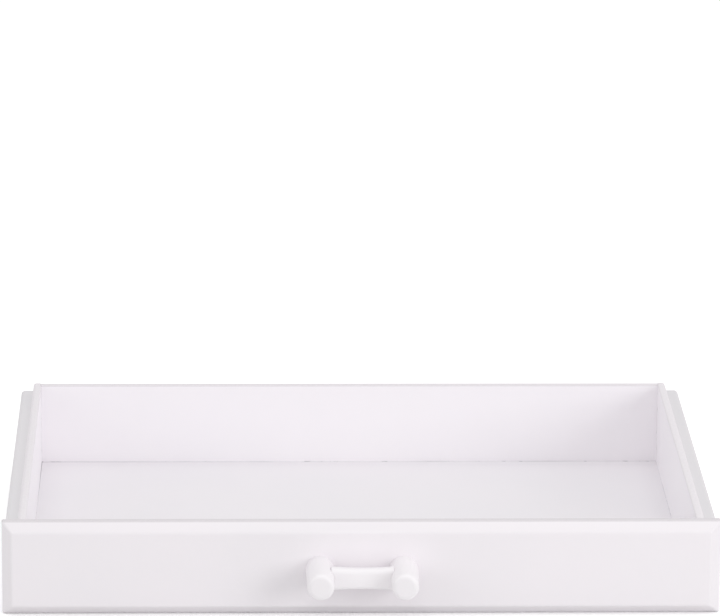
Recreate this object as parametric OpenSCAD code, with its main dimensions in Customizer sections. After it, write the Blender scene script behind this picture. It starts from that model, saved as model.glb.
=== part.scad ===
// Shallow pull-out drawer tray of white waterproof board.
// A bevelled front panel carries a bow handle of two posts and a bar. Thin walls stand on a floor
// sheet, and a runner strip along each side wall hangs the drawer on the rails of a cabinet.
// Origin: the centre of the underside, midway between the panel's face and the back.
// Axes: +X to the right seen from the front, +Y to the back, +Z up. Sizes are in millimetres.

/* [Front panel] */
// Width of the front panel
front_w = 430; // [380:1:500]
// Height of the front panel, which the tops of the walls match
front_h = 58; // [52:1:80]
// Thickness of the front panel
front_t = 10; // [9:0.5:14]
// Leg of the bevel round the front face
front_bevel = 6; // [2:0.5:7]
// Radius of the panel's four outer corners
front_corner_r = 2; // [0.5:0.5:4]
// How far the panel stands out past each side board
front_overhang = 9.5; // [8.5:0.5:16]

/* [Box] */
// Depth of the box behind the front panel
box_depth = 290; // [220:1:400]
// Thickness of the side and back boards
wall_t = 5; // [4.5:0.5:8]
// Radius of the outer top edge of the walls
wall_outer_r = 2; // [0.5:0.5:3]
// Radius of the inner top edge of the walls
wall_inner_r = 1; // [0.5:0.5:1.5]
// Thickness of the floor sheet
floor_t = 6; // [5:0.5:9]
// How far the floor sheet reaches under the front panel's back edge
floor_lap = 4; // [2:0.5:5]

/* [Runners] */
// Width of a runner strip
runner_w = 7.5; // [5:0.5:8.5]
// Height of a runner strip
runner_h = 12; // [8:0.5:14]
// Step from the top of the wall down to the top of the runner
runner_drop = 2; // [2:0.5:8]
// How far a runner stops short of the back of the box
runner_gap = 10; // [0:1:20]
// Radius of the outer edges of a runner
runner_r = 2.5; // [0.5:0.5:3.5]

/* [Handle] */
// Distance between the centres of the two posts
handle_pitch = 50; // [44:1:128]
// Diameter of a post at the panel
post_base_d = 17.4; // [16.6:0.2:20]
// Diameter of a post at its free end
post_end_d = 16; // [15:0.2:16.4]
// Length of a post
post_len = 35; // [28:1:45]
// Radius round the free end of a post
post_edge_r = 3; // [1:0.5:5]
// Distance from the panel's face to the middle of the bar
bar_reach = 16; // [14:0.5:20]
// Thickness of the bar from front to back
bar_t = 8; // [7:0.5:10]
// Height of the bar where it meets the posts
bar_end_h = 14; // [13.2:0.2:14.8]
// Height of the bar at its middle
bar_mid_h = 12.4; // [9:0.2:13]
// Radius of the long edges of the bar
bar_edge_r = 3; // [1:0.5:3]
// How far the straight ends of the bar reach past the nearest side of the posts
bar_seat = 2.2; // [0.6:0.2:3]
// Diameter of the spigots on the ends of the bar
spigot_d = 6; // [4:0.5:6.5]
// Length of a spigot inside its post
spigot_len = 5; // [3:0.5:6]

/* [Handle screws] */
// Diameter of the handle screws
screw_d = 4; // [3:0.5:4.5]
// Diameter of the head of a handle screw
screw_head_d = 7.5; // [6.5:0.5:9]
// Height of the head of a handle screw
screw_head_h = 2.6; // [2:0.1:3]
// How far a handle screw reaches into its post
screw_grip = 8; // [5:0.5:9]
// Outer diameter of a washer
washer_d = 9; // [8:0.5:10]
// Thickness of a washer
washer_t = 0.8; // [0.5:0.1:1]
// Diameter of the recess in the panel's back for a washer and a head
recess_d = 11; // [10.5:0.5:16]
// Depth of that recess
recess_depth = 4; // [4:0.5:5.5]
// Outer diameter of a threaded insert
insert_d = 6.4; // [6:0.1:8]
// Length of a threaded insert
insert_len = 9; // [6:0.5:9.5]

/* [Runner screws] */
// Diameter of the countersunk runner screws
csk_d = 3; // [2.5:0.1:3.4]
// Diameter of the heads of the runner screws
csk_head_d = 5.8; // [5:0.1:6.4]
// How far the runner screws reach into the side boards
runner_bite = 3.5; // [2:0.5:3.5]
// Screws along each runner
runner_screw_count = 4; // [2:1:6]
// Distance of the end fasteners of a row from the ends of the board
row_inset = 30; // [25:1:60]

/* [Panel pins and dowels] */
// Diameter of the panel pins that hold the thin boards together
pin_d = 1.6; // [1.2:0.1:2]
// Diameter of the head of a panel pin
pin_head_d = 3.2; // [2.6:0.1:4]
// Thickness of the head of a panel pin
pin_head_h = 0.8; // [0.5:0.1:1.2]
// How far the pins through the side boards reach into the back board
back_bite = 11; // [8:0.5:20]
// How far the pins through the floor reach into the walls
floor_bite = 10; // [6:0.5:14]
// Height of the back pins above the floor and below the runner
back_pin_margin = 9; // [7:0.5:11]
// Floor pins along each side board
side_floor_pin_count = 5; // [2:1:7]
// Floor pins along the back board
rear_floor_pin_count = 4; // [2:1:7]
// Diameter of the front dowels
dowel_d = 3; // [2.5:0.1:3.4]
// How far a dowel reaches into the front panel
dowel_in_front = 6; // [3:0.5:7]
// How far a dowel reaches into the side board
dowel_in_wall = 14; // [8:0.5:20]
// Height of the dowels above the floor and below the top of the wall
dowel_margin = 12; // [8:0.5:14]

/* [Clearances] */
// Clearance round a screw, dowel, insert or spigot
hole_clear = 0.05; // [0.02:0.01:0.1]
// Clearance between shaped pieces that seat on each other
seat_clear = 0.1; // [0.05:0.05:0.3]
// Spare depth past the end of a screw, dowel or spigot
tip_clear = 0.5; // [0.2:0.1:0.8]

/* [Hidden] */
$fn = 64;

// Which side a mirrored piece is on
left = -1;
right = 1;

// How far a cutting shape runs past the face that it cuts
cut_over = 1;
// Facets round the large arc of the bar's waist
waist_fn = 720;
// Width of the slots of a cross recess, and the share of the head that they span
recess_slot_w = 1;
recess_span = 0.6;
// Depth of a cross recess in a runner screw and in a handle screw
csk_recess_depth = 1.1;
screw_recess_depth = 1.5;
// Radius round the head of a handle screw
screw_head_r = 1;
// Length of the point of a runner screw and of a panel pin
csk_tip = 2;
pin_tip = 1.5;
// Chamfer on the ends of a dowel
dowel_chamfer = 0.5;
// Width and depth of the groove round a threaded insert
insert_groove_w = 2;
insert_groove_depth = 0.5;

// Colours of the pieces
board_white = [0.95, 0.94, 0.96];
handle_white = [0.97, 0.96, 0.97];
zinc_grey = [0.72, 0.73, 0.75];
brass_yellow = [0.80, 0.65, 0.32];
dowel_beech = [0.84, 0.71, 0.52];

// Planes across the depth: the panel's face, the panel's back and the back of the box
y_face = -(front_t + box_depth) / 2;
y_box = y_face + front_t;
y_back = y_box + box_depth;

// Half widths: outside and inside of the side boards, outside of the runners
box_half = front_w / 2 - front_overhang;
inner_half = box_half - wall_t;
runner_half = box_half + runner_w;

// Where the runners end at the back
y_runner_end = y_back - runner_gap;

// Heights
wall_h = front_h - floor_t;
runner_top = front_h - runner_drop;
runner_bottom = runner_top - runner_h;
handle_z = front_h / 2;

// Middle planes of the side and back boards
side_mid_x = box_half - wall_t / 2;
back_mid_y = y_back - wall_t / 2;

// Lengths of the screws, pins and dowels
runner_screw_len = runner_w + runner_bite;
back_pin_len = wall_t + back_bite;
floor_pin_len = floor_t + floor_bite;
handle_screw_len = washer_t + front_t - recess_depth + screw_grip;
dowel_len = dowel_in_front + dowel_in_wall;

// Depth of the cone of a runner screw's head, which has a 90 degree point
csk_head_depth = (csk_head_d - csk_d) / 2;

// Taper of a post, and its radius where the bar meets it
post_slope = (post_base_d - post_end_d) / 2 / post_len;
post_slant = sqrt(1 + post_slope * post_slope);
post_r_at_bar = post_base_d / 2 - post_slope * bar_reach;

// Half the gap between the posts at the bar, half the length of the bar, and the radius of its waist
post_gap_half = handle_pitch / 2 - post_r_at_bar;
bar_half = post_gap_half + bar_seat;
waist_rise = (bar_end_h - bar_mid_h) / 2;
waist_r = (bar_half * bar_half + waist_rise * waist_rise) / (2 * waist_rise);

// Count values spread evenly from first to last
function spread(count, first, last) = [for (i = [0:count - 1]) first + (last - first) * i / (count - 1)];

// Rows of fasteners
side_row = [y_box + row_inset, y_back - row_inset];
runner_row = [y_box + row_inset, y_runner_end - row_inset];
back_pin_zs = [floor_t + back_pin_margin, runner_bottom - back_pin_margin];
dowel_zs = [floor_t + dowel_margin, front_h - dowel_margin];

// Draws a piece of the right side, or its mirror image on the left
module on_side(side) {
    if (side == left) mirror([1, 0, 0]) children();
    else children();
}

// The part of a corner outside an arc of radius r, in the first quadrant round the arc's centre
module corner_cut(r) {
    difference() {
        square(r + cut_over);
        circle(r);
    }
}

// A rectangle centred on the origin with round corners
module rounded_rectangle(w, h, r) {
    square([w - 2 * r, h], center = true);
    square([w, h - 2 * r], center = true);
    for (x = [-1, 1], y = [-1, 1])
        translate([x * (w / 2 - r), y * (h / 2 - r)]) circle(r);
}

// Two crossed slots, cut down from the plane z = 0 along +Z
module cross_recess(span, depth) {
    for (turn = [0, 90])
        rotate([0, 0, turn])
            translate([-span / 2, -recess_slot_w / 2, -cut_over])
                cube([span, recess_slot_w, depth + cut_over]);
}

// A countersunk screw along +Z with the top of its head at z = 0
module csk_screw(len) {
    difference() {
        rotate_extrude()
            polygon([
                [0, 0], [csk_head_d / 2, 0], [csk_d / 2, csk_head_depth],
                [csk_d / 2, len - csk_tip], [0, len]
            ]);
        cross_recess(csk_head_d * recess_span, csk_recess_depth);
    }
}

// The hole for that screw, which runs past the face at z = 0 and past the screw's point
module csk_hole(len) {
    head_r = csk_head_d / 2 + hole_clear;
    shank_r = csk_d / 2 + hole_clear;
    rotate_extrude()
        polygon([
            [0, -cut_over], [head_r, -cut_over], [head_r, 0], [shank_r, csk_head_depth],
            [shank_r, len + tip_clear], [0, len + tip_clear]
        ]);
}

// A panel pin along +Z with the top of its flat head at z = 0
module panel_pin(len) {
    rotate_extrude()
        polygon([
            [0, 0], [pin_head_d / 2, 0], [pin_head_d / 2, pin_head_h], [pin_d / 2, pin_head_h],
            [pin_d / 2, len - pin_tip], [0, len]
        ]);
}

// The hole for that pin, which sinks its head flush
module pin_hole(len) {
    translate([0, 0, -cut_over])
        cylinder(h = pin_head_h + cut_over, d = pin_head_d + 2 * hole_clear);
    cylinder(h = len + tip_clear, d = pin_d + 2 * hole_clear);
}

// Places of the fasteners, on the right side where they come in pairs
module at_back_pins() {
    for (z = back_pin_zs)
        translate([box_half, back_mid_y, z]) rotate([0, -90, 0]) children();
}

module at_runner_screws() {
    for (y = spread(runner_screw_count, runner_row[0], runner_row[1]))
        translate([runner_half, y, (runner_top + runner_bottom) / 2]) rotate([0, -90, 0]) children();
}

module at_side_floor_pins() {
    for (y = spread(side_floor_pin_count, side_row[0], side_row[1]))
        translate([side_mid_x, y, 0]) children();
}

module at_rear_floor_pins() {
    reach = inner_half - row_inset;
    for (x = spread(rear_floor_pin_count, -reach, reach))
        translate([x, back_mid_y, 0]) children();
}

module at_dowels() {
    for (z = dowel_zs)
        translate([side_mid_x, y_box + dowel_in_wall, z]) rotate([90, 0, 0]) children();
}

// The axis of the right post: z = 0 is the panel's face and +Z points out of it
module at_post() {
    translate([handle_pitch / 2, y_face, handle_z]) rotate([90, 0, 0]) children();
}

module dowel_hole() {
    translate([0, 0, -tip_clear])
        cylinder(h = dowel_len + 2 * tip_clear, d = dowel_d + 2 * hole_clear);
}

// The panel's section across its height, with the face at y = y_face
module panel_height_section() {
    polygon([
        [y_box, 0], [y_face + front_bevel, 0], [y_face, front_bevel],
        [y_face, front_h - front_bevel], [y_face + front_bevel, front_h], [y_box, front_h]
    ]);
}

// The panel's section across its width
module panel_width_section() {
    half = front_w / 2;
    polygon([
        [-half, y_box], [-half, y_face + front_bevel], [-half + front_bevel, y_face],
        [half - front_bevel, y_face], [half, y_face + front_bevel], [half, y_box]
    ]);
}

// A board bevelled on its four front edges, with round outer corners
module bevelled_board() {
    intersection() {
        translate([-front_w / 2, 0, 0]) rotate([90, 0, 90]) linear_extrude(front_w) panel_height_section();
        linear_extrude(front_h) panel_width_section();
        translate([0, y_box, front_h / 2]) rotate([90, 0, 0]) linear_extrude(front_t)
            rounded_rectangle(front_w, front_h, front_corner_r);
    }
}

module front_panel() {
    lap_half = box_half + seat_clear;
    lap_y = y_box - floor_lap - seat_clear;
    color(board_white)
        difference() {
            bevelled_board();
            // Rebate for the front edge of the floor sheet
            translate([-lap_half, lap_y, -cut_over])
                cube([2 * lap_half, y_box - lap_y + cut_over, floor_t + seat_clear + cut_over]);
            for (side = [left, right])
                on_side(side) {
                    at_dowels() dowel_hole();
                    // Clearance hole and recess for a handle screw
                    at_post()
                        translate([0, 0, -front_t - cut_over])
                            cylinder(h = front_t + 2 * cut_over, d = screw_d + 2 * hole_clear);
                    at_post()
                        translate([0, 0, -front_t - cut_over])
                            cylinder(h = recess_depth + cut_over, d = recess_d);
                }
        }
}

// Section of a wall: x = 0 is its inner face, and its top edges are rounded
module wall_section() {
    difference() {
        square([wall_t, wall_h]);
        translate([wall_t - wall_outer_r, wall_h - wall_outer_r]) corner_cut(wall_outer_r);
        translate([wall_inner_r, wall_h - wall_inner_r]) mirror([1, 0]) corner_cut(wall_inner_r);
    }
}

module side_board(side) {
    color(board_white)
        on_side(side)
            difference() {
                translate([inner_half, y_back, floor_t]) rotate([90, 0, 0]) linear_extrude(box_depth)
                    wall_section();
                at_dowels() dowel_hole();
                at_back_pins() pin_hole(back_pin_len);
                at_runner_screws() csk_hole(runner_screw_len);
                at_side_floor_pins() pin_hole(floor_pin_len);
            }
}

module back_board() {
    color(board_white)
        difference() {
            translate([-inner_half, y_back - wall_t, floor_t]) rotate([90, 0, 90])
                linear_extrude(2 * inner_half) wall_section();
            for (side = [left, right])
                on_side(side) at_back_pins() pin_hole(back_pin_len);
            at_rear_floor_pins() pin_hole(floor_pin_len);
        }
}

module bottom_board() {
    color(board_white)
        difference() {
            translate([-box_half, y_box - floor_lap, 0])
                cube([2 * box_half, box_depth + floor_lap, floor_t]);
            for (side = [left, right])
                on_side(side) at_side_floor_pins() pin_hole(floor_pin_len);
            at_rear_floor_pins() pin_hole(floor_pin_len);
        }
}

// Section of a runner: x = 0 lies on the side board, and both outer edges are rounded
module runner_section() {
    difference() {
        square([runner_w, runner_h]);
        translate([runner_w - runner_r, runner_h - runner_r]) corner_cut(runner_r);
        translate([runner_w - runner_r, runner_r]) mirror([0, 1]) corner_cut(runner_r);
    }
}

module runner(side) {
    color(board_white)
        on_side(side)
            difference() {
                translate([box_half, y_runner_end, runner_bottom]) rotate([90, 0, 0])
                    linear_extrude(y_runner_end - y_box) runner_section();
                at_runner_screws() csk_hole(runner_screw_len);
            }
}

// Half section of a post: a tapered side that runs into a round edge at the free end
module post_section() {
    edge_x = post_base_d / 2 - post_slope * (post_len - post_edge_r) - post_edge_r * post_slant;
    edge_y = post_len - post_edge_r;
    touch = [edge_x + post_edge_r / post_slant, edge_y + post_edge_r * post_slope / post_slant];
    polygon([[0, 0], [post_base_d / 2, 0], touch, [edge_x, post_len], [0, post_len]]);
    translate([edge_x, edge_y]) circle(post_edge_r);
}

// The middle of the bar
module at_bar() {
    translate([0, y_face - bar_reach, handle_z]) children();
}

// A rod from the middle of the bar to the end of its right spigot
module spigot(extra) {
    at_bar() rotate([0, 90, 0]) cylinder(h = post_gap_half + spigot_len + extra, d = spigot_d + 2 * extra);
}

module handle_post(side) {
    color(handle_white)
        on_side(side)
            difference() {
                at_post() rotate_extrude() post_section();
                at_post()
                    translate([0, 0, -cut_over])
                        cylinder(h = insert_len + hole_clear + cut_over, d = insert_d + 2 * hole_clear);
                at_post()
                    translate([0, 0, -cut_over])
                        cylinder(h = screw_grip + tip_clear + cut_over, d = screw_d + 2 * hole_clear);
                spigot(hole_clear);
            }
}

// Half section of a large disc whose rim draws the bar in to its waist and rounds its long edges
module waist_section() {
    edge = [waist_r + bar_edge_r, bar_t / 2 - bar_edge_r];
    translate([0, -bar_t / 2 - cut_over]) square([waist_r, bar_t + 2 * cut_over]);
    translate(edge) mirror([1, 0]) corner_cut(bar_edge_r);
    translate([edge[0], -edge[1]]) rotate(180) corner_cut(bar_edge_r);
}

// A flat bar with straight ends, cut by that disc above and below
module waisted_bar() {
    difference() {
        cube([2 * bar_half, bar_t, bar_end_h + 2 * bar_edge_r], center = true);
        for (turn = [0, 180])
            rotate([turn, 0, 0]) translate([0, 0, bar_mid_h / 2 + waist_r]) rotate([90, 0, 0])
                rotate_extrude($fn = waist_fn) waist_section();
    }
}

module handle_bar() {
    seat_base_d = post_base_d + 2 * seat_clear;
    seat_end_d = post_end_d + 2 * seat_clear;
    color(handle_white) {
        difference() {
            at_bar() waisted_bar();
            // The ends are hollowed where they seat on the posts
            for (side = [left, right])
                on_side(side) at_post() cylinder(h = post_len, d1 = seat_base_d, d2 = seat_end_d);
        }
        for (side = [left, right])
            on_side(side) spigot(0);
    }
}

module handle_insert(side) {
    wall = (insert_d - screw_d) / 2 - hole_clear;
    color(brass_yellow)
        on_side(side) at_post() rotate_extrude()
            translate([screw_d / 2 + hole_clear, 0])
                difference() {
                    square([wall, insert_len]);
                    translate([wall - insert_groove_depth, (insert_len - insert_groove_w) / 2])
                        square([insert_groove_depth + cut_over, insert_groove_w]);
                }
}

// Half section of a handle screw: y = 0 is the underside of its head, and the shank is along +Y
module handle_screw_section() {
    square([screw_d / 2, handle_screw_len]);
    translate([0, -screw_head_h]) {
        translate([0, screw_head_r]) square([screw_head_d / 2, screw_head_h - screw_head_r]);
        square([screw_head_d / 2 - screw_head_r, screw_head_h]);
        translate([screw_head_d / 2 - screw_head_r, screw_head_r]) circle(screw_head_r);
    }
}

module handle_screw(side) {
    color(zinc_grey)
        on_side(side) at_post()
            translate([0, 0, recess_depth - front_t - washer_t])
                difference() {
                    rotate_extrude() handle_screw_section();
                    translate([0, 0, -screw_head_h])
                        cross_recess(screw_head_d * recess_span, screw_recess_depth);
                }
}

module handle_washer(side) {
    hole_r = screw_d / 2 + hole_clear;
    color(zinc_grey)
        on_side(side) at_post()
            translate([0, 0, recess_depth - front_t - washer_t]) rotate_extrude()
                translate([hole_r, 0]) square([washer_d / 2 - hole_r, washer_t]);
}

module front_dowels(side) {
    r = dowel_d / 2;
    color(dowel_beech)
        on_side(side) at_dowels() rotate_extrude()
            polygon([
                [0, 0], [r - dowel_chamfer, 0], [r, dowel_chamfer], [r, dowel_len - dowel_chamfer],
                [r - dowel_chamfer, dowel_len], [0, dowel_len]
            ]);
}

module runner_screws(side) {
    color(zinc_grey) on_side(side) at_runner_screws() csk_screw(runner_screw_len);
}

module back_pins(side) {
    color(zinc_grey) on_side(side) at_back_pins() panel_pin(back_pin_len);
}

module side_floor_pins(side) {
    color(zinc_grey) on_side(side) at_side_floor_pins() panel_pin(floor_pin_len);
}

module rear_floor_pins() {
    color(zinc_grey) at_rear_floor_pins() panel_pin(floor_pin_len);
}

front_panel();
side_board(left);  // left_side_board
side_board(right);  // right_side_board
back_board();
bottom_board();
runner(left);  // left_runner
runner(right);  // right_runner
handle_post(left);  // left_handle_post
handle_post(right);  // right_handle_post
handle_bar();
handle_insert(left);  // left_handle_insert
handle_insert(right);  // right_handle_insert
handle_screw(left);  // left_handle_screw
handle_screw(right);  // right_handle_screw
handle_washer(left);  // left_handle_washer
handle_washer(right);  // right_handle_washer
front_dowels(left);  // left_front_dowels
front_dowels(right);  // right_front_dowels
runner_screws(left);  // left_runner_screws
runner_screws(right);  // right_runner_screws
back_pins(left);  // left_back_pins
back_pins(right);  // right_back_pins
side_floor_pins(left);  // left_floor_pins
side_floor_pins(right);  // right_floor_pins
rear_floor_pins();
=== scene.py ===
"""White pull-out drawer tray: boards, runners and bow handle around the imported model, on a studio stage."""

import math
from functools import partial

import bmesh
import bpy
from bpy.props import FloatProperty, FloatVectorProperty, PointerProperty
from mathutils import Matrix, Vector


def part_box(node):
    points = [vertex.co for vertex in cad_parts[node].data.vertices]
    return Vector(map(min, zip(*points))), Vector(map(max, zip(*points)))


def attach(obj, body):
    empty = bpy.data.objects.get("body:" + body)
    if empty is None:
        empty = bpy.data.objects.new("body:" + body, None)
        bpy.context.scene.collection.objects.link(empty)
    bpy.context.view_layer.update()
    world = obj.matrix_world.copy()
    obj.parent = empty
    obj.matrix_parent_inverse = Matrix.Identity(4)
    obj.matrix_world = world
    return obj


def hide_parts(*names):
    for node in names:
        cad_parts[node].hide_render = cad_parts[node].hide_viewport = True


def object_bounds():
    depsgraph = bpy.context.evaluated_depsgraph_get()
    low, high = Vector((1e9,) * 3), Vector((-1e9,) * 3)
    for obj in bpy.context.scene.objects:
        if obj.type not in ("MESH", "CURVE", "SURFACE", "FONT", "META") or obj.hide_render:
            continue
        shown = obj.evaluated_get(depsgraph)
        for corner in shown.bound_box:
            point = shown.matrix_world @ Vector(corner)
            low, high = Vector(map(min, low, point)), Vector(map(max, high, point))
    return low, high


bl_info = {
    "name": "White Drawer Tray",
    "version": (1, 0, 0),
    "blender": (4, 5, 0),
    "location": "View3D > Sidebar > Drawer",
    "description": "Builds the boards, runners and handle of a white drawer tray, and its stage",
    "category": "Object",
}

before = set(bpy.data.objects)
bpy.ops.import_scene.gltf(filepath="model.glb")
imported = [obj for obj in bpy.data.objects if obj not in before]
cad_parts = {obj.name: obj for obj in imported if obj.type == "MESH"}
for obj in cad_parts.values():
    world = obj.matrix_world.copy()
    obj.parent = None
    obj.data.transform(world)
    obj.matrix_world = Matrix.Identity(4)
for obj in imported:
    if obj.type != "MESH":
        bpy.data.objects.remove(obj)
CAD_LOW, CAD_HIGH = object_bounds()

MM = 0.001
BODY = "root"
SIDES = ("left", "right")
SCREW_NODES = [f"{side}_{kind}" for side in SIDES for kind in ("handle_screw", "runner_screws")]
WASHER_NODES = [f"{side}_handle_washer" for side in SIDES]
PIN_NODES = ["left_back_pins", "right_back_pins", "left_floor_pins", "right_floor_pins", "rear_floor_pins"]
INSERT_NODES = [f"{side}_handle_insert" for side in SIDES]
DOWEL_NODES = [f"{side}_front_dowels" for side in SIDES]

# Planes that the joint lines follow, and those of the panel's face and of the posts' ends
FLOOR_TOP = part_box("bottom_board")[1].z
INNER_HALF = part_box("back_board")[1].x
INNER_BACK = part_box("back_board")[0].y
INNER_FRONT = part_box("front_panel")[1].y
PANEL_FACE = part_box("front_panel")[0].y
HANDLE_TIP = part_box("left_handle_post")[0].y

# How near a point lies to a plane to be on it, and how near two points are to be one
TOUCH = 0.01 * MM
MERGE = 0.001 * MM
# How far a cutting shape runs past the face that it cuts
PAST = 0.2 * MM
# Edges that turn more than this stay crisp
CRISP_ANGLE = math.radians(32)
# Segments of a large round edge, of a small one, and round a turned piece and a pocket
LARGE_SEGMENTS = 6
SMALL_SEGMENTS = 3
TURN_STEPS = 64
POCKET_SEGMENTS = 32
# Cuts along the bar that carry its waist
WAIST_CUTS = 15
# Width of the dust and painted shade in a joint on the wall, on the floor sheet and on the sheet along the
# back
WALL_JOINT = 0.4 * MM
FLOOR_JOINT = 0.7 * MM
BACK_JOINT = 2.4 * MM
# How far the thicker dust and painted shade reach from the left back corner along the side, and from both
# back corners along the back
SHADE_AND_DUST_SIDE_REACH = 110 * MM
SHADE_AND_DUST_BACK_REACH = 110 * MM
# How thick that dust and painted shade are along the left side, and along the back by the left corner and by
# the right one
SHADE_AND_DUST_SIDE = 0.9
SHADE_AND_DUST_LEFT = 0.3
SHADE_AND_DUST_RIGHT = 0.12
# Paler patch of painted light on the panel's face, which lifts the shade that the handle casts above its bar:
# the height of its middle, its reach up, how much wider it is than high, the height below which it has faded
# out, and how far back from the face it goes
PAINTED_LIGHT_HEIGHT = 33 * MM
PAINTED_LIGHT_REACH = 30 * MM
PAINTED_LIGHT_STRETCH = 2.0
PAINTED_LIGHT_FOOT = 21 * MM
PAINTED_LIGHT_DEPTH = 2 * MM
# Roughness of the painted-light patch, of the posts' ends under their painted shade, and of the raw top edges
# and the joint dust, which both carry painted shade
PAINTED_LIGHT_ROUGHNESS = 0.36
END_SHADE_ROUGHNESS = 0.4
RAW_ROUGHNESS = 0.9
# Width of the darker top edge of the panel and of the walls: a raw edge's tone with painted shade on the
# up-facing tops
PANEL_EDGE_SHADE = 0.9 * MM
WALL_EDGE_SHADE = 1.3 * MM
# Depth of the painted shade on the front-facing ends of the handle's posts
END_SHADE_DEPTH = 1 * MM

# Roughness of each white skin, with the scale and the depth of its orange peel
PANEL_SHEEN = (0.42, 700.0, 0.05 * MM)
WALL_SHEEN = (0.45, 700.0, 0.05 * MM)
FLOOR_SHEEN = (0.5, 600.0, 0.06 * MM)
RUNNER_SHEEN = (0.55, 500.0, 0.05 * MM)
HANDLE_SHEEN = (0.4, 350.0, 0.03 * MM)
# How far the clouds in a skin spread its roughness, and how strongly its peel shows
ROUGHNESS_SPREAD = 0.08
PEEL_STRENGTH = 0.25
# Scale of each texture, in features to the metre
CLOUD_SCALE = 11.0
BREAK_SCALE = 28.0
SPECK_SCALE = 260.0
PORE_SCALE = 800.0
PAINTED_LIGHT_SCALE = 40.0
ZINC_SCALE = 900.0
BRASS_SCALE = 700.0
GRAIN_SCALE = 1400.0
# Detail of a soft texture, of a plain one and of a sharp one
SOFT_DETAIL = 2.0
PLAIN_DETAIL = 3.0
SHARP_DETAIL = 4.0
# Values of each texture between which it goes from its least to its most
CLOUD_BAND = (0.3, 0.7)
BREAK_BAND = (0.42, 0.66)
SPECK_BAND = (0.54, 0.72)
PORE_BAND = (0.35, 0.65)
PAINTED_LIGHT_BAND = (0.3, 0.7)
TARNISH_BAND = (0.35, 0.7)
POLISH_BAND = (0.3, 0.7)
GRAIN_BAND = (0.35, 0.65)
# The least and the most of the dust and painted shade in a joint and of its specks
BREAK_SHADE_AND_DUST = (0.05, 0.3)
SPECK_SHADE_AND_DUST = (0.0, 0.6)
# The least and the most of a raw edge between its pores, and of the painted-light patch
PORE_COVER = (0.85, 1.0)
PAINTED_LIGHT_COVER = (0.85, 1.0)
# Share of the darker top edge's width past which it fades
EDGE_SHADE_FADE = 0.6
# Least and greatest roughness of the metal and of the wood
METAL_ROUGHNESS = (0.22, 0.45)
WOOD_ROUGHNESS = (0.55, 0.7)
# How the grain is drawn out along the dowels
GRAIN_STRETCH = (1.0, 0.08, 1.0)
# From no mask to a full one, and from a full one to none
NONE_TO_FULL = (0.0, 1.0)
FULL_TO_NONE = (1.0, 0.0)


def length(name, description, default):
    """A length setting in metres."""
    return FloatProperty(name=name, description=description, default=default, min=0.0, unit="LENGTH")


def angle(name, description, degrees):
    """An angle setting, given in degrees."""
    return FloatProperty(name=name, description=description, default=math.radians(degrees), subtype="ANGLE")


def colour(name, description, default):
    """A colour setting."""
    return FloatVectorProperty(
        name=name, description=description, default=default, size=3, min=0.0, max=1.0, subtype="COLOR"
    )


class BoardSettings(bpy.types.PropertyGroup):
    """Edges, joints and pockets of the boards"""

    panel_bevel: length("Panel bevel", "Leg of the bevel round the panel's face", 6 * MM)
    panel_arris: length("Panel arris", "Rounding where the bevel meets the face and the rim", 1 * MM)
    wall_outer_edge: length("Wall outer edge", "Radius of the outer top edge of the walls", 2 * MM)
    wall_inner_edge: length("Wall inner edge", "Radius of the inner top edge of the walls", 1 * MM)
    board_edge: length("Board edge", "Rounding of the boards' other edges", 0.4 * MM)
    floor_clearance: length("Floor clearance", "Gap round the floor sheet in the panel's rebate", 0.1 * MM)
    runner_edge: length("Runner edge", "Radius of the outer edges of a runner", 2.5 * MM)
    runner_end: length("Runner end", "Rounding of the ends of a runner", 1 * MM)
    recess_radius: length("Recess radius", "Radius of the recess for a handle screw's head", 5.5 * MM)
    head_gap: length("Head gap", "Gap round the head of a screw or pin", 0.08 * MM)
    screw_head_depth: length("Screw head depth", "Depth of a runner screw's cone", 1.4 * MM)
    screw_shank: length("Screw shank", "Radius of a runner screw's shank", 1.5 * MM)
    pin_head_depth: length("Pin head depth", "Thickness of a panel pin's head", 0.8 * MM)


class HandleSettings(bpy.types.PropertyGroup):
    """Shape of the bow handle"""

    post_end_radius: length("Post end radius", "Radius of a post at its free end", 8 * MM)
    post_edge: length("Post edge", "Radius round the free end of a post", 3 * MM)
    bar_waist: length("Bar waist", "Height of the bar at its middle", 12.4 * MM)
    bar_half: length("Bar half", "Half the length of the bar between its straight ends", 18.82 * MM)
    bar_edge: length("Bar edge", "Radius of the long edges of the bar", 3 * MM)
    bar_end_edge: length("Bar end edge", "Rounding round the ends of the bar", 0.8 * MM)
    bar_gap: length("Bar gap", "Gap between the bar's ends and the posts", 0.03 * MM)


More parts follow.
